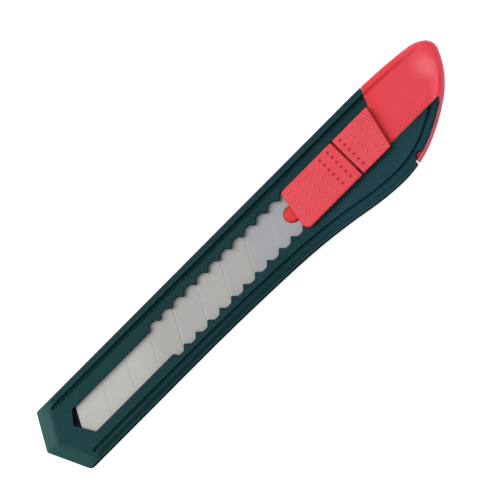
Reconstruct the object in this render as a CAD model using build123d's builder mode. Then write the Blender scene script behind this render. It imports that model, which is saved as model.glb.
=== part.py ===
from build123d import *
import math
import os

# Snap-off knife for 18 mm blades: a two-shell moulded body, a sliding blade carrier with a spring lock
# and its release button, a scored blade and a pull-off end cap.
# Millimetres. X runs from the nose (-X) to the end cap (+X), Y from the cutting edge (-Y) to the
# blade's spine (+Y), and Z up out of the face that carries the slider. The origin is on the back face,
# under the slot's centreline, half way along the knife.

os.makedirs("parts", exist_ok=True)

# Overall form
length = 167.4
crest_height = 11.0
spine_y = 12.3
edge_y = -10.9
nose_apex_y = 1.5
nose_depth = 6.2
nose_lower_depth = 5.7
upper_corner_radius = 1.0
lower_corner_radius = 1.7
apex_radius = 1.2
rim_radius = 1.9
foot_radius = 0.7
nose_edge_height = 9.1
facet_angle = 18.4
facet_blend = 5.0
bevel_end = 9.8

# The belly and the end cap's hook, as tangent arcs: radius and turn in degrees
straight_end = 50.4
outline_arcs = [
    (860, -2.8),
    (196, -7.7),
    (88, 8.0),
    (36, 25.3),
    (62, 12.6),
    (26.5, 30.6),
    (4.1, 79.0),
    (11.5, 28.0),
]

# Heights through the body, from the back face up
floor_thickness = 1.6
parting_height = 4.2
rail_top = 5.85
sled_bottom = 6.0
sled_top = 7.6
blade_bottom = 7.65
panel_underside = 8.4
panel_height = 10.4
groove_height = 9.4
groove_start = 10.2
rim_width = 2.2
groove_width = 1.1
groove_rounding = 0.42
rim_softening = 0.25
panel_softening = 0.25

# Blade
blade_width = 18.0
blade_length = 100.0
blade_thickness = 0.5
blade_front = 12.8
blade_slant = 0.54
blade_hole_radius = 2.6
blade_hole_distance = 101.5
first_score = 23.6
score_pitch = 10.0
score_count = 7
score_width = 0.22
score_depth = 0.12
bevel_width = 2.0
edge_half = 0.03
blade_end_trim = 2.0
blade_end_step = (0.8, 2.2)
blade_corner_cut = 1.5

# Channel and window
channel_half = 9.3
channel_start = 8.0
slit_half = 9.15
rail_inner = 6.5
rail_end = 133.4
platform_end = 18.0
window_y = 0.45
window_apex = (11.3, 1.6)
window_upper = 14.4
window_lower = 14.7
window_rear = 148.0
window_half = 4.85
window_softening = 0.2
notch_pitch = 5.0
notch_count = 17
first_notch = 49.1
notch_half = 6.4
notch_crest = 1.0
first_flank = 1.85
notch_rounding = 1.0
tip_rounding = 0.3

# Slider
carrier_front = 98.4
carrier_rear = 133.6
carrier_half = 9.1
boss_radius = 2.3
boss_top = 9.2
neck_front = 114.7
neck_half = 4.5
neck_top = 10.5
step_front = 115.9
step_top = 8.2
plate_y = -0.12
plate_half = 6.75
plate_top = 13.0
front_plate_bottom = 10.6
front_plate_x = (102.3, 124.6)
front_plate_slant = 0.185
button_plate_bottom = 11.6
button_plate_x = (125.15, 138.15)
button_plate_slant = 0.24
plate_rounding = 0.45
plate_lower_corner = 2.0
plate_upper_corner = 1.3
plate_rear_corner = 0.4
boss_rounding = 0.4
grip_pitch = 1.92
grip_y = 0.17
grip_rows = 6
bump_radius = 0.55
bump_height = 0.3
dimple_depth = 0.35

# Columns of the thumb grip: distance from the nose and slant, X per Y
front_bumps = [(105.0, 0.165), (108.55, 0.08), (111.9, 0), (115.3, 0)]
front_dimples = [(118.65, 0), (121.85, 0)]
button_bumps = [(130.3, 0), (133.4, 0.09), (136.4, 0.175)]
button_dimples = [(127.2, 0)]

# Lock: spring, well and button stem
lock_x = 129.1
wing_length = 2.4
wing_reach = 6.05
wing_clearance = 0.3
wing_headroom = 0.2
wing_corner_radius = 0.7
spring_height = 8.9
spring_thickness = 0.4
spring_plate = 3.2
spring_plate_half_y = 2.5
spring_leg_width = 3.2
spring_foot_height = 6.75
spring_spread = 2.9
spring_leg_root = 0.6
spring_leg_shoulder = 0.1
spring_leg_ankle = 0.8
spring_toe = 0.4
well_half_x = 3.05
well_half_y = 2.7
well_floor = 6.7
ledge_bottom = 9.3
ledge_depth = 0.5
stem_clearance = 0.15
stem_rest = 0.05
stem_half_x = 2.8
hook_thickness = 0.8
hook_half_y = 1.75
hook_bottom = 8.6
hook_catch = 0.45
catch_clearance = 0.1

# End cap
cap_line_rear = (142.6, 11.85)
cap_line_front = (140.0, 6.6)
cap_lower_y = -6.1
tongue_tip = 157.2
tongue_foot = (153.9, -10.6)
tongue_run = 3.0
plug_front = 134.8
plug_half = 9.1
plug_bottom = 1.8
plug_top = 8.2
plug_wall = 1.5
cavity_end = 155.0
arm_thickness = 1.1
arm_lip = 0.55
arm_top = 8.9
arm_end = 139.4
arm_end_gap = 0.8
nub_radius = 1.3
nub_place = (140.75, -14.8)
nub_way_end = 148.0
nub_bottom = 1.8
dish_floor = 10.0
dish_rim = 1.8
dish_overshoot = 0.2
dish_wall_angle = 45
dish_centre = (142.0, 5.0)
dish_flat_radius = 16.4
dish_ramp_radius = 13.0
dish_ramp_arc = 26
snap_slot_height = 0.9
snap_slot_depth = 5.0
snap_slot_y = (-2.5, 10.5)

gap = 0.15

# How far forms run into what they join, past what they trim, and past what they cut through
overlap = 0.5
margin = 2.0
reach = 20.0

peg_radius = 0.6
peg_fit = 0.03
peg_height = 2.0
peg_headroom = 0.3
peg_places = [(16, 10.7), (60, 10.7), (104, 10.7), (132, 10.7), (16, -10.1), (60, -10.1), (100, -10.4)]


def at(distance, y=None):
    """A place measured from the nose's apex, as X or as an (X, Y) point."""
    x = distance - length / 2
    return x if y is None else (x, y)


def outline(inset=0.0, height=0.0):
    """The knife's plan outline, drawn in by inset, as a sketch at a height."""
    upper_corner = at(nose_depth, spine_y)
    lower_corner = at(nose_lower_depth, edge_y)
    with BuildSketch(Plane.XY.offset(height)) as plan:
        with BuildLine():
            run = Line(lower_corner, at(straight_end, edge_y))
            for radius, turn in outline_arcs:
                run = JernArc(start=run @ 1, tangent=run % 1, radius=radius, arc_size=turn)
            last_turn = 180 - sum(turn for radius, turn in outline_arcs)
            last_radius = (spine_y - (run @ 1).Y) / (1 - math.cos(math.radians(last_turn)))
            run = JernArc(start=run @ 1, tangent=run % 1, radius=last_radius, arc_size=last_turn)
            Line(run @ 1, upper_corner)
            Line(upper_corner, at(0, nose_apex_y))
            Line(at(0, nose_apex_y), lower_corner)
        make_face()
        if inset:
            offset(amount=-inset)
    return plan.sketch


def block(x_from, x_to, y_from, y_to, height):
    """A rectangle between two distances from the nose, as a sketch at a height."""
    with BuildSketch(Plane.XY.offset(height)) as plan:
        with Locations(at((x_from + x_to) / 2, (y_from + y_to) / 2)):
            Rectangle(x_to - x_from, y_to - y_from)
    return plan.sketch


def cap_line(y):
    """Distance from the nose of the end cap's slanted front line at y."""
    slope = (cap_line_rear[0] - cap_line_front[0]) / (cap_line_rear[1] - cap_line_front[1])
    return cap_line_front[0] + slope * (y - cap_line_front[1])


def cap_plan(grow=0.0):
    """Plan of the end cap's full-height part, grown by a gap, before it meets the outline."""
    far = length + reach
    front = math.hypot(1, cap_line(1) - cap_line(0)) * grow
    with BuildSketch() as plan:
        with BuildLine():
            Polyline(
                at(cap_line(spine_y + margin) - front, spine_y + margin),
                at(cap_line(cap_lower_y - grow) - front, cap_lower_y - grow),
                at(tongue_tip - grow, cap_lower_y - grow),
                at(tongue_foot[0] - grow, tongue_foot[1] - grow),
                at(tongue_foot[0] + tongue_run, tongue_foot[1] - tongue_run),
                at(far, tongue_foot[1] - tongue_run),
                at(far, spine_y + margin),
                close=True,
            )
        make_face()
    return plan.sketch


def arm_plan(thickness, front):
    """Plan of the strip along the belly's edge that the cap's arm takes, from front to the cap."""
    with BuildSketch() as plan:
        add(outline())
        add(outline(thickness), mode=Mode.SUBTRACT)
        add(block(front, length + reach, -reach, cap_lower_y, 0), mode=Mode.INTERSECT)
    return plan.sketch


def nub_way(height):
    """The way that the arm's nub leaves by as the end cap is pulled off, as a sketch at a height."""
    return block(arm_end - arm_end_gap, nub_way_end, -reach, nub_place[1] + nub_radius + gap, height)


def lane(half):
    """The two sides, as Y, of a strip of a given half width about the window's centreline."""
    return window_y - half, window_y + half


def facet_plane(depth, corner_y):
    """The sloping plane that bevels one of the nose's two edges."""
    apex = Vector(at(0), nose_apex_y, nose_edge_height)
    edge = Vector(at(depth), corner_y, nose_edge_height) - apex
    outward = edge.cross(Vector(0, 0, 1)).normalized()
    if outward.X > 0:
        outward = outward * -1
    tilt = math.radians(facet_angle)
    return Plane(origin=apex, z_dir=outward * math.sin(tilt) + Vector(0, 0, math.cos(tilt)))


def nose_ridge(form):
    """The edge where a form's two nose bevels meet."""
    front = form.edges().filter_by(lambda e: e.center().X < at(nose_depth))
    middle = front.filter_by(lambda e: abs(e.center().Y - nose_apex_y) < 0.8)
    return middle.filter_by(lambda e: e.center().Z > nose_edge_height)


# The outer form that the shells and the end cap share
with BuildPart() as envelope:
    extrude(outline(), amount=crest_height)
    top_edges = envelope.faces().sort_by(Axis.Z)[-1].edges()
    fillet(top_edges.filter_by(lambda e: e.center().X > at(nose_depth)), radius=rim_radius)
    for corner in ((nose_depth, spine_y), (nose_lower_depth, edge_y)):
        split(bisect_by=facet_plane(*corner), keep=Keep.BOTTOM)
    fillet(nose_ridge(envelope), radius=facet_blend)
    for corner_y, radius in (
        (spine_y, upper_corner_radius),
        (nose_apex_y, apex_radius),
        (edge_y, lower_corner_radius),
    ):
        corner = envelope.edges().filter_by(Axis.Z).filter_by(
            lambda e: e.center().X < at(nose_depth + 0.1) and abs(e.center().Y - corner_y) < 0.1
        )
        fillet(corner, radius=radius)
    fillet(envelope.faces().sort_by(Axis.Z)[0].edges(), radius=foot_radius)

# The form under the panel, with nose bevels that run softly into it
with BuildPart() as panel_form:
    extrude(outline(), amount=panel_height)
    for corner in ((nose_depth, spine_y), (nose_lower_depth, edge_y)):
        split(bisect_by=facet_plane(*corner), keep=Keep.BOTTOM)
    top_edges = panel_form.faces().sort_by(Axis.Z)[-1].edges()
    bevel_edges = top_edges.filter_by(lambda e: e.center().X < at(bevel_end))
    fillet(bevel_edges + nose_ridge(panel_form), radius=facet_blend)

# What the panel lies below the rim by
with BuildPart() as panel_pocket:
    extrude(outline(rim_width, panel_height - margin), amount=reach)
    add(panel_form.part, mode=Mode.SUBTRACT)


def window_side(side):
    """Corners along one long side of the window, from its front corner back, with a tip between notches."""
    straight = window_y + side * window_half
    crest = window_y + side * notch_half
    corners = [at(window_upper if side > 0 else window_lower, straight)]
    for i in range(notch_count):
        middle = first_notch + notch_pitch * i
        corners.append(at(middle - (notch_pitch / 2 if i else first_flank), straight))
        corners.append(at(middle - notch_crest, crest))
        corners.append(at(middle + notch_crest, crest))
    corners.append(at(first_notch + notch_pitch * (notch_count - 0.5), straight))
    corners.append(at(window_rear, straight))
    return corners


def window_plan(height):
    """The window that the blade shows and the slider travels in, as a sketch at a height."""
    with BuildSketch(Plane.XY.offset(height)) as plan:
        Polygon(at(*window_apex), *window_side(1), *reversed(window_side(-1)), align=None)
        corners = plan.vertices().filter_by(lambda v: at(window_lower + 1) < v.X < at(window_rear - 1))
        fillet(corners.filter_by(lambda v: abs(v.Y - window_y) > notch_half - 0.1), radius=notch_rounding)
        tips = plan.vertices().filter_by(lambda v: at(window_lower + 1) < v.X < at(window_rear - 1))
        fillet(tips.filter_by(lambda v: abs(v.Y - window_y) < window_half + 0.01), radius=tip_rounding)
    return plan.sketch


# Upper shell of the body: side walls, rim, groove, panel, window with its notches, and nose slit
with BuildPart() as body_top_shell:
    add(envelope.part)
    split(bisect_by=Plane.XY.offset(parting_height), keep=Keep.TOP)
    add(panel_pocket.part, mode=Mode.SUBTRACT)
    with BuildSketch(Plane.XY.offset(groove_height)) as groove:
        add(outline(rim_width, groove_height))
        add(outline(rim_width + groove_width, groove_height), mode=Mode.SUBTRACT)
        add(block(groove_start, length + reach, -reach, reach, groove_height), mode=Mode.INTERSECT)
        groove_ends = groove.vertices().filter_by(lambda v: abs(v.X - at(groove_start)) < 0.01)
        fillet(groove_ends, radius=groove_width / 2 - 0.02)
    extrude(groove.sketch, amount=reach, mode=Mode.SUBTRACT)
    groove_floor = body_top_shell.faces().filter_by(Axis.Z).filter_by_position(
        Axis.Z, groove_height - 0.01, groove_height + 0.01
    )
    fillet(groove_floor.edges(), radius=groove_rounding)
    channel = block(channel_start, length + reach, -channel_half, channel_half, parting_height)
    extrude(channel, amount=panel_underside - parting_height, mode=Mode.SUBTRACT)
    slit = block(-margin, channel_start + margin, -slit_half, slit_half, blade_bottom - gap)
    extrude(slit, amount=panel_underside - blade_bottom + gap, mode=Mode.SUBTRACT)
    extrude(window_plan(panel_underside - overlap), amount=reach, mode=Mode.SUBTRACT)
    panel = body_top_shell.faces().filter_by(Axis.Z).filter_by_position(
        Axis.Z, panel_height - 0.01, panel_height + 0.01
    )
    panel_inside = outline(rim_width + groove_width + 0.5, panel_height)
    panel_edges = panel.edges().filter_by(
        lambda e: e.center().X > at(groove_start + groove_width / 2 - 0.1)
        and panel_inside.distance_to(e.center()) > 0.3
    )
    fillet(panel_edges, radius=panel_softening)
    rim_mouth = outline(rim_width, crest_height)
    rim_edges = body_top_shell.edges().filter_by(
        lambda e: abs(e.center().Z - crest_height) < 0.01 and rim_mouth.distance_to(e.center()) < 0.05
    )
    fillet(rim_edges, radius=rim_softening)
    window_edges = body_top_shell.edges().filter_by(
        lambda e: abs(e.center().Z - panel_height) < 0.01
        and at(10) < e.center().X < at(window_rear - 1)
        and abs(e.center().Y - window_y) < notch_half + 0.1
    )
    fillet(window_edges, radius=window_softening)
    extrude(cap_plan(gap), amount=reach, mode=Mode.SUBTRACT)
    extrude(arm_plan(arm_thickness + gap, arm_end - arm_end_gap), amount=arm_top + gap, mode=Mode.SUBTRACT)
    extrude(arm_plan(arm_lip + gap, arm_end - arm_end_gap), amount=reach, mode=Mode.SUBTRACT)
    extrude(nub_way(0), amount=arm_top + gap, mode=Mode.SUBTRACT)
    with BuildSketch() as nub_pocket:
        with Locations(at(*nub_place)):
            Circle(nub_radius + gap)
            Rectangle(2 * (nub_radius + gap), reach, align=(Align.CENTER, Align.MAX))
    extrude(nub_pocket.sketch, amount=reach, mode=Mode.SUBTRACT)
    with Locations([(*at(x, y), parting_height) for x, y in peg_places]):
        Cylinder(
            peg_radius + peg_fit,
            peg_height + peg_headroom,
            align=(Align.CENTER, Align.CENTER, Align.MIN),
            mode=Mode.SUBTRACT,
        )
body_top_shell.part.label = "body_top_shell"

# Back shell: floor, lower side walls, the rails that the sled runs on and the platform under the blade
with BuildPart() as body_back_shell:
    add(envelope.part)
    split(bisect_by=Plane.XY.offset(parting_height), keep=Keep.BOTTOM)
    well = block(channel_start, length + reach, -rail_inner, rail_inner, floor_thickness)
    extrude(well, amount=reach, mode=Mode.SUBTRACT)
    rear_well = block(rail_end, length + reach, -channel_half, channel_half, floor_thickness)
    extrude(rear_well, amount=reach, mode=Mode.SUBTRACT)
    for side in (-1, 1):
        low, high = sorted((side * rail_inner, side * (channel_half - gap)))
        rail = block(channel_start + gap, rail_end, low, high, parting_height - overlap)
        extrude(rail, amount=rail_top - parting_height + overlap)
    platform_foot = floor_thickness - overlap
    platform_half = channel_half - gap
    platform = block(channel_start + gap, platform_end, -platform_half, platform_half, platform_foot)
    extrude(platform, amount=blade_bottom - gap - platform_foot)
    extrude(cap_plan(gap), amount=reach, mode=Mode.SUBTRACT)
    extrude(arm_plan(arm_thickness + gap, arm_end - arm_end_gap), amount=reach, mode=Mode.SUBTRACT)
    extrude(nub_way(floor_thickness), amount=reach, mode=Mode.SUBTRACT)
    with Locations([(*at(x, y), parting_height) for x, y in peg_places]):
        Cylinder(peg_radius, peg_height, align=(Align.CENTER, Align.CENTER, Align.MIN))
body_back_shell.part.label = "body_back_shell"

# Blade: slanted ends, ground edge, snap lines and the hole for the carrier's boss
with BuildPart() as blade:
    with BuildSketch(Plane.XY.offset(blade_bottom)) as blade_plan:
        half = blade_width / 2
        lean = blade_slant * half
        rear = blade_front + blade_length
        with BuildLine():
            Polyline(
                at(blade_front - lean, -half),
                at(blade_front + lean, half),
                at(rear + lean - blade_end_trim, half),
                at(rear + lean - blade_end_trim - blade_end_step[0], half - blade_end_step[1]),
                at(rear - lean, blade_corner_cut - half),
                at(rear - lean - blade_corner_cut, -half),
                close=True,
            )
        make_face()
        with Locations(at(blade_hole_distance, 0)):
            Circle(blade_hole_radius, mode=Mode.SUBTRACT)
    extrude(blade_plan.sketch, amount=blade_thickness)
    ground_faces = blade.faces().filter_by(Axis.Z)
    for face in ground_faces:
        side_edge = face.edges().filter_by(Axis.X).sort_by(Axis.Y)[0]
        edge_face = blade.faces().sort_by(Axis.Y)[0]
        chamfer(side_edge, length=blade_thickness / 2 - edge_half, length2=bevel_width, reference=edge_face)
    with BuildSketch(Plane.XY.offset(blade_bottom + blade_thickness - score_depth)) as scores:
        for i in range(score_count):
            middle = first_score + score_pitch * i
            Polygon(
                at(middle - lean - score_width / 2, -half),
                at(middle - lean + score_width / 2, -half),
                at(middle + lean + score_width / 2, half),
                at(middle + lean - score_width / 2, half),
                align=None,
            )
    extrude(scores.sketch, amount=reach, mode=Mode.SUBTRACT)
blade.part.label = "blade"


def plate_plan(x_range, slant_front, slant_rear, height):
    """Plan of a thumb plate whose ends lean by a slant, X per Y."""
    with BuildSketch(Plane.XY.offset(height)) as plan:
        front, rear = x_range
        Polygon(
            at(front - slant_front * plate_half, plate_y - plate_half),
            at(rear - slant_rear * plate_half, plate_y - plate_half),
            at(rear + slant_rear * plate_half, plate_y + plate_half),
            at(front + slant_front * plate_half, plate_y + plate_half),
            align=None,
        )
    return plan.sketch


def grip_places(columns):
    """Places of a grip pattern: a column for each distance and slant, the rows spaced evenly over Y."""
    rows = [grip_pitch * (i - (grip_rows - 1) / 2) for i in range(grip_rows)]
    return [at(x + slant * y, grip_y + y) for x, slant in columns for y in rows]


def add_grip(bumps, dimples):
    """Low round bumps on a thumb plate's top, and round dimples in it."""
    with Locations([(*place, plate_top + bump_height - bump_radius) for place in grip_places(bumps)]):
        Sphere(bump_radius)
    with Locations([(*place, plate_top - dimple_depth + bump_radius) for place in grip_places(dimples)]):
        Sphere(bump_radius, mode=Mode.SUBTRACT)


# Blade carrier: sled under the blade, boss, neck through the window and the front thumb plate
with BuildPart() as slider_carrier:
    sled = block(carrier_front, carrier_rear, -carrier_half, carrier_half, sled_bottom)
    extrude(sled, amount=sled_top - sled_bottom)
    step = block(step_front, carrier_rear, -carrier_half, carrier_half, sled_top)
    extrude(step, amount=step_top - sled_top)
    neck = block(neck_front, carrier_rear, *lane(neck_half), sled_top)
    extrude(neck, amount=neck_top - sled_top)
    riser = block(neck_front, front_plate_x[1], *lane(neck_half), sled_top)
    extrude(riser, amount=front_plate_bottom - sled_top + overlap)
    plate = plate_plan(front_plate_x, front_plate_slant, 0, front_plate_bottom)
    extrude(plate, amount=plate_top - front_plate_bottom)
    plate_corners = slider_carrier.edges().filter_by(Axis.Z).filter_by(
        lambda e: e.center().Z > front_plate_bottom and e.center().X < at(neck_front)
    )
    fillet(plate_corners.sort_by(Axis.Y)[0], radius=plate_lower_corner)
    fillet(plate_corners.sort_by(Axis.Y)[-1], radius=plate_upper_corner)
    rear_corners = slider_carrier.edges().filter_by(Axis.Z).filter_by(
        lambda e: e.center().Z > front_plate_bottom + overlap
        and abs(e.center().X - at(front_plate_x[1])) < 0.1
    )
    fillet(rear_corners, radius=plate_rear_corner)
    fillet(slider_carrier.faces().sort_by(Axis.Z)[-1].edges(), radius=plate_rounding)
    add_grip(front_bumps, front_dimples)
    with Locations((*at(blade_hole_distance, 0), sled_top)):
        Cylinder(boss_radius, boss_top - sled_top, align=(Align.CENTER, Align.CENTER, Align.MIN))
    boss_rim = slider_carrier.edges().filter_by(GeomType.CIRCLE).filter_by(
        lambda e: abs(e.center().Z - boss_top) < 0.01
    )
    fillet(boss_rim, radius=boss_rounding)
    mouth = block(lock_x - well_half_x, lock_x + well_half_x, *lane(well_half_y), well_floor)
    extrude(mouth, amount=reach, mode=Mode.SUBTRACT)
    ledge_half_x = well_half_x + ledge_depth
    under_ledge = block(lock_x - ledge_half_x, lock_x + ledge_half_x, *lane(well_half_y), well_floor)
    extrude(under_ledge, amount=ledge_bottom - well_floor, mode=Mode.SUBTRACT)
    wing_way_half = wing_length / 2 + wing_clearance
    wing_way_x = (lock_x - wing_way_half, lock_x + wing_way_half)
    wing_way = block(*wing_way_x, *lane(notch_half + wing_clearance), sled_top)
    wing_way_top = spring_height + spring_thickness + wing_headroom
    extrude(wing_way, amount=wing_way_top - sled_top, mode=Mode.SUBTRACT)
slider_carrier.part.label = "slider_carrier"

# Lock button: the rear thumb plate, with a stem on the spring and two snap hooks under the well's ledges
with BuildPart() as lock_button:
    plate = plate_plan(button_plate_x, 0, button_plate_slant, button_plate_bottom)
    extrude(plate, amount=plate_top - button_plate_bottom)
    fillet(lock_button.edges().filter_by(Axis.Z), radius=plate_rear_corner)
    fillet(lock_button.faces().sort_by(Axis.Z)[-1].edges(), radius=plate_rounding)
    add_grip(button_bumps, button_dimples)
    stem_half_y = well_half_y - stem_clearance
    stem_bottom = spring_height + spring_thickness + stem_rest
    stem = block(lock_x - stem_half_x, lock_x + stem_half_x, *lane(stem_half_y), stem_bottom)
    extrude(stem, amount=button_plate_bottom - stem_bottom + overlap)
    for side in (-1, 1):
        outer = lock_x + side * stem_half_x
        near, far = sorted((outer, outer - side * hook_thickness))
        leg = block(near, far, *lane(hook_half_y), hook_bottom)
        extrude(leg, amount=ledge_bottom - hook_bottom + overlap)
        near, far = sorted((outer, outer + side * hook_catch))
        catch = block(near, far, *lane(hook_half_y), hook_bottom)
        extrude(catch, amount=ledge_bottom - catch_clearance - hook_bottom)
lock_button.part.label = "lock_button"

# Lock spring: a plate with two wings that sit in the window's notches, on two bent legs
with BuildPart() as lock_spring:
    plate_x = (lock_x - spring_plate / 2, lock_x + spring_plate / 2)
    extrude(block(*plate_x, *lane(spring_plate_half_y), spring_height), amount=spring_thickness)
    wings = block(lock_x - wing_length / 2, lock_x + wing_length / 2, *lane(wing_reach), spring_height)
    extrude(wings, amount=spring_thickness)
    wing_ends = lock_spring.edges().filter_by(Axis.Z).filter_by(
        lambda e: abs(e.center().Y - window_y) > wing_reach - 0.1
    )
    fillet(wing_ends, radius=wing_corner_radius)
    with BuildSketch(Plane.XZ.offset(-window_y - spring_leg_width / 2)) as legs:
        plate_middle = spring_height + spring_thickness / 2
        foot_middle = spring_foot_height + spring_thickness / 2
        for side in (-1, 1):
            with BuildLine():
                bend = Polyline(
                    (at(lock_x) + side * spring_leg_root, plate_middle),
                    (at(lock_x) + side * (spring_plate / 2 - spring_leg_shoulder), plate_middle),
                    (at(lock_x) + side * spring_spread * spring_leg_ankle, foot_middle),
                    (at(lock_x) + side * (spring_spread + spring_toe), foot_middle),
                )
                offset(bend, amount=spring_thickness / 2, side=Side.BOTH)
            make_face()
    extrude(legs.sketch, amount=spring_leg_width)
lock_spring.part.label = "lock_spring"

# The dish in the end cap's face: a flat floor with sloping sides, which curves up towards the rear
with BuildPart() as cap_dish:
    dish_depth = crest_height - dish_floor
    dish_bottom = outline(dish_rim + dish_depth, dish_floor)
    extrude(dish_bottom, amount=dish_depth + dish_overshoot, taper=-dish_wall_angle)
    with BuildSketch(Plane.XZ.offset(-dish_centre[1])) as bowl:
        with BuildLine():
            middle = at(dish_centre[0])
            flat = Line((middle, dish_floor), (middle + dish_flat_radius, dish_floor))
            rise = JernArc(start=flat @ 1, tangent=(1, 0), radius=dish_ramp_radius, arc_size=dish_ramp_arc)
            Polyline(rise @ 1, (middle, (rise @ 1).Y), flat @ 0)
        make_face()
    revolve(bowl.sketch, axis=Axis((*at(*dish_centre), 0), (0, 0, 1)), mode=Mode.INTERSECT)

# The end cap's arm along the belly: a lip that is flush with the body's rim, on a thicker base, with a nub
with BuildPart() as cap_arm:
    extrude(arm_plan(arm_lip, arm_end), amount=crest_height)
    extrude(arm_plan(arm_thickness, arm_end), amount=arm_top)
    with BuildSketch(Plane.XY.offset(nub_bottom)) as nub:
        with Locations(at(*nub_place)):
            Circle(nub_radius)
            Rectangle(2 * nub_radius, reach, align=(Align.CENTER, Align.MAX))
    extrude(nub.sketch, amount=arm_top - nub_bottom)
    add(envelope.part, mode=Mode.INTERSECT)

# The end cap's plug, which fills the end of the body's channel
with BuildPart() as cap_plug:
    plug = block(plug_front, length + reach, -plug_half, plug_half, plug_bottom)
    extrude(plug, amount=plug_top - plug_bottom)
    extrude(outline(), amount=crest_height, mode=Mode.INTERSECT)

# End cap: the hook-shaped rear end with its dish, a hollow plug and an arm
with BuildPart() as end_cap:
    add(envelope.part)
    extrude(cap_plan(), amount=reach, mode=Mode.INTERSECT)
    add(cap_dish.part, mode=Mode.SUBTRACT)
    add(cap_plug.part)
    add(cap_arm.part)
    hollow_half = plug_half - plug_wall
    hollow = block(plug_front - margin, cavity_end, -hollow_half, hollow_half, plug_bottom + plug_wall)
    extrude(hollow, amount=plug_top - plug_bottom - 2 * plug_wall, mode=Mode.SUBTRACT)
    slot_bottom = (crest_height - snap_slot_height) / 2
    snap_slot = block(length - snap_slot_depth, length + reach, *snap_slot_y, slot_bottom)
    extrude(snap_slot, amount=snap_slot_height, mode=Mode.SUBTRACT)
end_cap.part.label = "end_cap"

for piece in (body_top_shell, body_back_shell, blade, slider_carrier, lock_button, lock_spring, end_cap):
    export_step(piece.part, f"parts/{piece.part.label}.step")
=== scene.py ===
import math

import bpy
from mathutils import Matrix, Vector


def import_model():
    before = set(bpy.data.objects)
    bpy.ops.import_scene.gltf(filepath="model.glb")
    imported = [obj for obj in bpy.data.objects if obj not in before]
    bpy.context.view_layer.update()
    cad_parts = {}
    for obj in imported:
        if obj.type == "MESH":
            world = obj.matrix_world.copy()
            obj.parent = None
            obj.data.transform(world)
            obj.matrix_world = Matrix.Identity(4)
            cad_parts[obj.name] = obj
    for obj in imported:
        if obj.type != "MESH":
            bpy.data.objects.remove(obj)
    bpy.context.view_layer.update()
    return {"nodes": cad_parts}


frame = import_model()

nodes = frame["nodes"]
scene = bpy.context.scene
MM = 0.001

# Places on the knife in millimetres, in the frame's own axes
score_slant = 0.54
score_pitch = 10.0
first_score = -60.1
rear_segment = -1.0
plate_top = 13.0
rib_height = 5.0
nose_end = -76.0
dish_glint = (76.5, 3.0, 10.5)
upper_bevel = (-0.867, 0.498, 0)
straight_up = (0, 0, 1)

# Linear colours: (darker, lighter) tones of each plastic, then the colours that are mixed over them,
# several of them painted light and shade
body_tones = (0.004, 0.037, 0.045), (0.007, 0.046, 0.055)
slider_tones = (0.81, 0.064, 0.088), (0.87, 0.076, 0.102)
button_tones = (0.82, 0.068, 0.092), (0.88, 0.081, 0.108)
cap_tones = (0.83, 0.052, 0.078), (0.89, 0.064, 0.090)
# painted shade for the body's rounded edges and side walls
side_shade_green = (0.002, 0.020, 0.022)
nose_green = (0.006, 0.056, 0.056)
# painted shade for a band along the lower rim
lower_rim_shade_green = (0.001, 0.024, 0.029)
# painted highlight for the belly
belly_highlight_green = (0.012, 0.060, 0.078)
# painted highlight for the upper nose bevel
bevel_highlight_green = (0.045, 0.125, 0.108)
# painted shade for the ribs inside the body
inner_shade_green = (0.001, 0.008, 0.012)
# painted highlight for the bump tops
bump_highlight_red = (0.88, 0.13, 0.17)
# painted shade for the dimples
dimple_shade_red = (0.40, 0.012, 0.022)
# painted shade: a deeper, saturated red
shade_red = (0.84, 0.034, 0.036)
# painted light for the cap's rounded edges and slopes
edge_light_red = (0.95, 0.13, 0.19)
# painted highlight for the dish
glint_red = (0.92, 0.17, 0.21)
steel_tones = (0.367, 0.359, 0.346), (0.424, 0.416, 0.400)
dull_steel = (0.34, 0.335, 0.323)
bright_steel = (0.48, 0.465, 0.43)
# painted highlight beside the snap lines
snap_line_highlight_steel = (0.58, 0.58, 0.57)
bluish_steel = (0.345, 0.363, 0.390)
spring_tones = (0.32, 0.32, 0.34), (0.45, 0.45, 0.47)


# ---------------------------------------------------------------- node helpers
def material(name):
    """An empty node material: (material, its node tree, principled shader)."""
    made = bpy.data.materials.new(name)
    made.use_nodes = True
    return made, made.node_tree, made.node_tree.nodes["Principled BSDF"]


def noise(tree, scale, detail=3.0, roughness=0.5, stretch=(1, 1, 1)):
    """A noise texture in the object's own coordinates, in features per metre."""
    place = tree.nodes.new("ShaderNodeTexCoord")
    mapping = tree.nodes.new("ShaderNodeMapping")
    mapping.inputs["Scale"].default_value = stretch
    texture = tree.nodes.new("ShaderNodeTexNoise")
    texture.inputs["Scale"].default_value = scale
    texture.inputs["Detail"].default_value = detail
    texture.inputs["Roughness"].default_value = roughness
    tree.links.new(place.outputs["Object"], mapping.inputs["Vector"])
    tree.links.new(mapping.outputs["Vector"], texture.inputs["Vector"])
    return texture.outputs["Fac"]


def ramp(tree, value, stops):
    """A colour ramp over a value: stops are (position, colour)."""
    node = tree.nodes.new("ShaderNodeValToRGB")
    elements = node.color_ramp.elements
    while len(elements) < len(stops):
        elements.new(0.5)
    for element, (position, colour) in zip(elements, stops):
        element.position = position
        element.color = (*colour, 1)
    tree.links.new(value, node.inputs["Fac"])
    return node.outputs["Color"]


def span(tree, value, start, end, low=0.0, high=1.0):
    """A value mapped from start..end to low..high, and held at both ends."""
    node = tree.nodes.new("ShaderNodeMapRange")
    node.inputs["From Min"].default_value = start
    node.inputs["From Max"].default_value = end
    node.inputs["To Min"].default_value = low
    node.inputs["To Max"].default_value = high
    tree.links.new(value, node.inputs["Value"])
    return node.outputs["Result"]


def spread(tree, value, low, high):
    """A noise value, which is mostly 0.3..0.7, mapped to low..high."""
    return span(tree, value, 0.3, 0.7, low, high)


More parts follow.
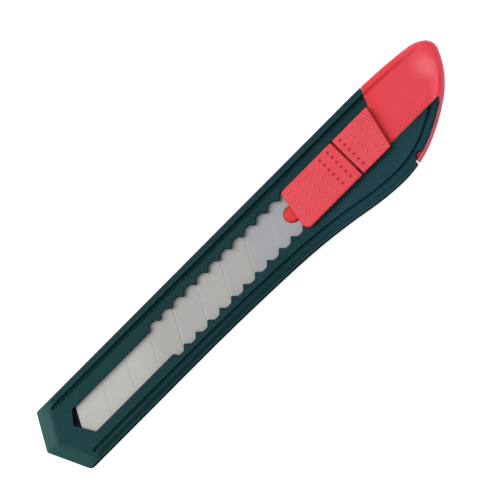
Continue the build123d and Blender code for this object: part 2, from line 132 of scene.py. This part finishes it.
def maths(tree, operation, first, second):
    """A maths node over a socket and either a socket or a number."""
    node = tree.nodes.new("ShaderNodeMath")
    node.operation = operation
    tree.links.new(first, node.inputs[0])
    if isinstance(second, (int, float)):
        node.inputs[1].default_value = second
    else:
        tree.links.new(second, node.inputs[1])
    return node.outputs["Value"]


def both(tree, first, second):
    """Two masks multiplied."""
    return maths(tree, "MULTIPLY", first, second)


def mix(tree, factor, first, second):
    """A colour mixed from a colour socket towards a colour."""
    node = tree.nodes.new("ShaderNodeMix")
    node.data_type = "RGBA"
    tree.links.new(factor, node.inputs["Factor"])
    tree.links.new(first, node.inputs["A"])
    node.inputs["B"].default_value = (*second, 1)
    return node.outputs["Result"]


def vector_maths(tree, operation, source, vector):
    """A vector maths node over a socket and a constant vector, which gives a single value."""
    node = tree.nodes.new("ShaderNodeVectorMath")
    node.operation = operation
    node.inputs[1].default_value = vector
    tree.links.new(source, node.inputs[0])
    return node.outputs["Value"]


def across(tree, weights):
    """A weighted sum of the object's own X, Y and Z in metres."""
    place = tree.nodes.new("ShaderNodeTexCoord")
    return vector_maths(tree, "DOT_PRODUCT", place.outputs["Object"], weights)


def band(tree, value, start, end, low=0.0, high=1.0):
    """A mask over a value in metres, from low at start to high at end, both in millimetres."""
    return span(tree, value, start * MM, end * MM, low, high)


def facing(tree, direction):
    """How far a surface faces a direction, from -1 to 1."""
    geometry = tree.nodes.new("ShaderNodeNewGeometry")
    return vector_maths(tree, "DOT_PRODUCT", geometry.outputs["Normal"], Vector(direction).normalized())


def spot(tree, centre, inner, outer, strength):
    """A round mask about a place in millimetres, which fades from inner to outer."""
    place = tree.nodes.new("ShaderNodeTexCoord")
    away = vector_maths(tree, "DISTANCE", place.outputs["Object"], [c * MM for c in centre])
    return band(tree, away, inner, outer, strength, 0.0)


def bump(tree, height, distance, normal=None):
    """A bump of a height socket, over another bump if there is one."""
    node = tree.nodes.new("ShaderNodeBump")
    node.inputs["Strength"].default_value = 1.0
    node.inputs["Distance"].default_value = distance
    tree.links.new(height, node.inputs["Height"])
    if normal is not None:
        tree.links.new(normal, node.inputs["Normal"])
    return node.outputs["Normal"]


# ---------------------------------------------------------------- how colours change over the pieces, painted light and shade among them
def thumb_grip(tree, colour):
    """Painted highlights on the bump tops, painted shade in the dimples and a painted shade of deeper red
    on the underparts.
    """
    z = across(tree, (0, 0, 1))
    # painted shade: underparts well below the plate top are a deeper red
    colour = mix(tree, band(tree, z, plate_top - 2.6, plate_top - 3.4), colour, shade_red)
    # painted highlight: bump tops above the plate top are paler
    colour = mix(tree, band(tree, z, plate_top + 0.04, plate_top + 0.26), colour, bump_highlight_red)
    # painted shade in the dimples just under the plate top
    sunk = band(tree, z, plate_top - 0.32, plate_top - 0.05, 0.75, 0.0)
    above_sides = band(tree, z, plate_top - 0.5, plate_top - 0.4)
    return mix(tree, both(tree, sunk, above_sides), colour, dimple_shade_red)


def nose_bevels(tree, colour):
    """Painted shade on rounded edges and side walls, a greener nose, a painted highlight on the upper nose
    bevel, painted shade on a lower rim band and a painted highlight on the belly.
    """
    x = across(tree, (1, 0, 0))
    y = across(tree, (0, 1, 0))
    # painted shade: surfaces that tilt away from straight up are darkened
    slope = span(tree, facing(tree, straight_up), 0.93, 0.5, 0.0, 0.6)
    colour = mix(tree, slope, colour, side_shade_green)
    colour = mix(tree, band(tree, x, nose_end, -40, 0.5, 0.0), colour, nose_green)
    # painted shade: a darker band along the lower rim
    lower_rim = both(tree, band(tree, y, -9.0, -9.5, 0.0, 0.7), band(tree, x, -20, 10, 1.0, 0.0))
    colour = mix(tree, lower_rim, colour, lower_rim_shade_green)
    # painted highlight: a paler band along the belly
    belly = both(tree, band(tree, y, -7, -9, 0.0, 0.7), band(tree, x, 10, 30))
    colour = mix(tree, belly, colour, belly_highlight_green)
    # painted highlight on the upper nose bevel, paler where it faces the light
    bevel = span(tree, facing(tree, upper_bevel), 0.04, 0.33, 0.0, 0.8)
    front = band(tree, x, nose_end, nose_end + 4, 1.0, 0.0)
    return mix(tree, both(tree, bevel, front), colour, bevel_highlight_green)


def inside(tree, colour):
    """Painted shade on the ribs inside the body."""
    z = across(tree, (0, 0, 1))
    return mix(tree, band(tree, z, rib_height, rib_height + 0.6), colour, inner_shade_green)


def cap_light_and_shade(tree, colour):
    """Painted light on rounded edges and slopes, painted shade by the thumb plate and on the upper rim, a
    painted highlight spot in the dish.
    """
    # painted light: surfaces that tilt away from straight up are paler
    slope = span(tree, facing(tree, straight_up), 0.97, 0.6, 0.0, 0.85)
    colour = mix(tree, slope, colour, edge_light_red)
    along = across(tree, (1, -0.24, 0))
    # painted shade where the thumb plate shades the cap's front
    colour = mix(tree, band(tree, along, 55, 60, 0.8, 0.0), colour, shade_red)
    y = across(tree, (0, 1, 0))
    # painted shade on the cap's upper rim
    upper_rim = both(tree, band(tree, y, 8.6, 9.4, 0.0, 0.6), band(tree, along, 70, 74, 1.0, 0.0))
    colour = mix(tree, upper_rim, colour, shade_red)
    # painted highlight: a glint spot on the dish's rear ramp
    return mix(tree, spot(tree, dish_glint, 1.5, 4.5, 0.6), colour, glint_red)


# ---------------------------------------------------------------- materials
def moulded_plastic(name, tones, roughness, specular, grain, paint, glow=0.0):
    """Satin moulded plastic: colour clouds, pale scuffs, fine spark-eroded grain and slow flow waves.

    paint is a function that changes the colour over a piece, and glow is how far light runs in the plastic.
    """
    made, tree, shader = material(name)
    dark, light = tones
    colour = ramp(tree, noise(tree, 180, 4), [(0.3, dark), (0.7, light)])
    scuffs = span(tree, noise(tree, 420, 5, 0.75, (0.35, 1, 1)), 0.62, 0.78, 0.0, 0.10)
    colour = mix(tree, scuffs, colour, tuple(min(1.0, c * 1.6 + 0.03) for c in light))
    tree.links.new(paint(tree, colour), shader.inputs["Base Color"])
    shine = span(tree, facing(tree, straight_up), 0.1, 0.5, 0.0, specular)
    tree.links.new(shine, shader.inputs["Specular IOR Level"])
    shader.inputs["Subsurface Weight"].default_value = glow
    shader.inputs["Subsurface Radius"].default_value = (1.0, 0.2, 0.15)
    shader.inputs["Subsurface Scale"].default_value = 2.5 * MM
    satin = spread(tree, noise(tree, 700, 3), roughness - 0.06, roughness + 0.06)
    tree.links.new(satin, shader.inputs["Roughness"])
    waves = bump(tree, noise(tree, 90, 2), 0.00004)
    tree.links.new(bump(tree, noise(tree, 2600, 2), grain, waves), shader.inputs["Normal"])
    return made


def blade_steel():
    """Ground carbon steel: fine scratches, a tone for each segment, painted highlights beside the snap
    lines, a bluish rear.
    """
    made, tree, shader = material("blade_steel")
    shader.inputs["Metallic"].default_value = 0.5
    scratches = noise(tree, 900, 4, 0.7, (0.08, 1, 1))
    colour = ramp(tree, scratches, list(zip((0.25, 0.75), steel_tones)))
    slanted = across(tree, (1, -score_slant, 0))
    along = maths(tree, "ADD", slanted, -first_score * MM)
    pitches = maths(tree, "DIVIDE", along, score_pitch * MM)
    segment = tree.nodes.new("ShaderNodeTexWhiteNoise")
    segment.noise_dimensions = "1D"
    tree.links.new(maths(tree, "FLOOR", pitches, 0.0), segment.inputs["W"])
    colour = mix(tree, span(tree, segment.outputs["Value"], 0.0, 1.0, 0.0, 0.35), colour, dull_steel)
    colour = mix(tree, band(tree, along, 14, 24, 0.6, 0.0), colour, bright_steel)
    place = maths(tree, "FRACT", pitches, 0.0)
    # painted highlight on one flank of each snap line, patchy and fading out towards the front
    flank = both(tree, span(tree, place, 0.012, 0.03), span(tree, place, 0.03, 0.075, 1.0, 0.0))
    patchy = span(tree, noise(tree, 350, 2), 0.35, 0.65, 0.1, 0.6)
    snap_highlight_fade = both(tree, patchy, band(tree, along, 12, 26, 0.15, 1.0))
    colour = mix(tree, both(tree, flank, snap_highlight_fade), colour, snap_line_highlight_steel)
    rear = band(tree, slanted, rear_segment, rear_segment + 3, 0.0, 0.75)
    tree.links.new(mix(tree, rear, colour, bluish_steel), shader.inputs["Base Color"])
    tree.links.new(spread(tree, scratches, 0.42, 0.54), shader.inputs["Roughness"])
    tree.links.new(bump(tree, scratches, 0.000004), shader.inputs["Normal"])
    return made


def spring_steel():
    """Rolled spring strip with streaks along its width."""
    made, tree, shader = material("spring_steel")
    shader.inputs["Metallic"].default_value = 1.0
    streaks = noise(tree, 1500, 3, 0.6, (1, 0.1, 1))
    colour = ramp(tree, streaks, list(zip((0.3, 0.7), spring_tones)))
    tree.links.new(colour, shader.inputs["Base Color"])
    tree.links.new(spread(tree, streaks, 0.25, 0.4), shader.inputs["Roughness"])
    tree.links.new(bump(tree, streaks, 0.000003), shader.inputs["Normal"])
    return made


# Roughness, specular level and depth of grain
green_finish = 0.5, 0.1, 0.000012
red_finish = 0.45, 0.3, 0.000006
finishes = {
    "body_top_shell": moulded_plastic("body_plastic", body_tones, *green_finish, nose_bevels),
    "body_back_shell": moulded_plastic("back_plastic", body_tones, *green_finish, inside),
    "blade": blade_steel(),
    "slider_carrier": moulded_plastic("slider_plastic", slider_tones, *red_finish, thumb_grip, 0.3),
    "lock_button": moulded_plastic("button_plastic", button_tones, *red_finish, thumb_grip, 0.3),
    "lock_spring": spring_steel(),
    "end_cap": moulded_plastic("cap_plastic", cap_tones, *red_finish, cap_light_and_shade, 0.5),
}
for name, finish in finishes.items():
    mesh = nodes[name].data
    mesh.materials.clear()
    mesh.materials.append(finish)


# ---------------------------------------------------------------- stage, light and camera
def area_light(name, place, size, power):
    """A white square lamp at a place, aimed at the knife's middle."""
    data = bpy.data.lights.new(name, "AREA")
    data.shape = "RECTANGLE"
    data.size = size
    data.size_y = size
    data.energy = power
    lamp = bpy.data.objects.new(name, data)
    lamp.location = place
    lamp.rotation_mode = "QUATERNION"
    lamp.rotation_quaternion = (-Vector(place)).to_track_quat("-Z", "Y")
    scene.collection.objects.link(lamp)


def floor():
    """A plain white floor just under the knife, which the camera and reflections see brighter than lit."""
    bpy.ops.mesh.primitive_plane_add(size=6, location=(0, 0, -0.1 * MM))
    plane = bpy.context.object
    plane.name = "floor"
    made, tree, shader = material("floor_white")
    shader.inputs["Base Color"].default_value = (0.9, 0.9, 0.9, 1)
    shader.inputs["Roughness"].default_value = 0.9
    shader.inputs["Specular IOR Level"].default_value = 0.0
    shader.inputs["Emission Color"].default_value = (1, 1, 1, 1)
    path = tree.nodes.new("ShaderNodeLightPath")
    seen = maths(tree, "MAXIMUM", path.outputs["Is Camera Ray"], path.outputs["Is Glossy Ray"])
    tree.links.new(maths(tree, "MULTIPLY", seen, 0.75), shader.inputs["Emission Strength"])
    plane.data.materials.append(made)


def world(strength):
    """An even white surrounding light."""
    made = bpy.data.worlds.new("studio")
    made.use_nodes = True
    background = made.node_tree.nodes["Background"]
    background.inputs["Color"].default_value = (1, 1, 1, 1)
    background.inputs["Strength"].default_value = strength
    scene.world = made


def camera():
    """Looks almost straight down; the knife lies on the picture's diagonal with its nose at lower left."""
    picture_width = 0.1485
    distance = 2.2
    turn = math.radians(45.14)
    tilt = math.radians(4.3)
    target = Vector((1.5 * MM, 1.2 * MM, 10.4 * MM))
    data = bpy.data.cameras.new("camera")
    data.sensor_width = 36
    data.lens = data.sensor_width * distance / picture_width
    data.clip_end = 20
    made = bpy.data.objects.new("camera", data)
    basis = Matrix.Rotation(tilt, 4, "X") @ Matrix.Rotation(-turn, 4, "Z")
    back = basis @ Vector((0, 0, 1))
    made.matrix_world = Matrix.Translation(target + back * distance) @ basis
    scene.collection.objects.link(made)
    scene.camera = made


floor()
world(0.42)
area_light("key", (-0.40, 0.46, 1.05), 0.8, 9.5)
camera()
scene.view_settings.view_transform = "Standard"
